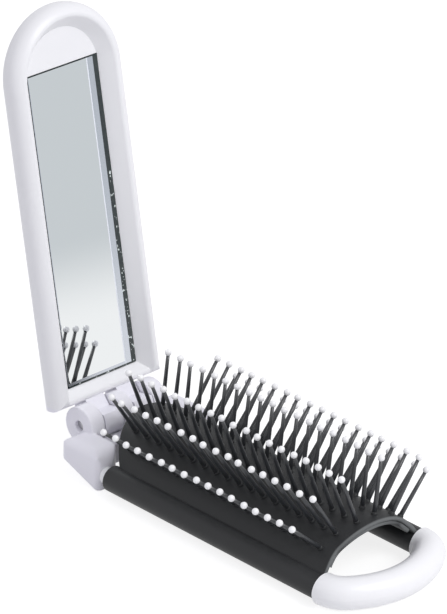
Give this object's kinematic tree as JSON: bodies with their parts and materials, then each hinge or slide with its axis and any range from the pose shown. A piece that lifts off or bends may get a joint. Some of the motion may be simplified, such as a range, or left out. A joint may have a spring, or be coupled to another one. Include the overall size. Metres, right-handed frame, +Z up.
{
  "type": "folding hairbrush with mirror",
  "caption": "Folding hairbrush: a looped frame carries an arched rubber pad of ball-tipped bristles, and a mirror lid folds over them on a pin hinge.",
  "frame": {"origin": "middle of the base of the whole object at rest, on the surface that the brush lies on", "axes": "+X from the lid's hinge towards the open loop, +Y across the brush, +Z up"},
  "size_m": [0.1226, 0.042, 0.1055],
  "materials": {
    "white_plastic": "satin",
    "hinge_plastic": "satin",
    "lid_plastic": "satin",
    "pin_steel": "brushed",
    "mirror_glass": "polished",
    "adhesive": "matte",
    "black_rubber": "satin",
    "bristle_plastic": "satin",
    "tip_plastic": "gloss"
  },
  "bodies": {
    "brush": {"frame_loop": "white_plastic", "hinge_block": "hinge_plastic", "bristle_pad": "black_rubber", "bristles_row_1": "bristle_plastic", "bristles_row_2": "bristle_plastic", "bristles_row_3": "bristle_plastic", "bristles_row_4": "bristle_plastic", "bristles_row_5": "bristle_plastic", "bristles_row_6": "bristle_plastic", "ball_tips_row_1": "tip_plastic", "ball_tips_row_2": "tip_plastic", "ball_tips_row_3": "tip_plastic", "ball_tips_row_4": "tip_plastic", "ball_tips_row_5": "tip_plastic", "ball_tips_row_6": "tip_plastic"},
    "pin": {"hinge_pin": "pin_steel"},
    "lid": {"lid_shell": "lid_plastic", "mirror_glass": "mirror_glass", "mirror_adhesive": "adhesive"}
  },
  "joints": [
    {"name": "lid_close", "type": "hinge", "parent": "brush", "child": "pin", "pos_m": [-0.03528, 0, 0.01], "axis": [0, 1, 0], "range_deg": [0, 101.45], "deforming": ["bristle_pad", "bristles_row_1", "bristles_row_2", "bristles_row_3", "bristles_row_4", "bristles_row_5", "bristles_row_6", "ball_tips_row_1", "ball_tips_row_2", "ball_tips_row_3", "ball_tips_row_4", "ball_tips_row_5", "ball_tips_row_6"]},
    {"name": "lid_open_flat", "type": "hinge", "parent": "pin", "child": "lid", "pos_m": [-0.03528, 0, 0.01], "axis": [0, -1, 0], "range_deg": [0, 78.55]}
  ]
}
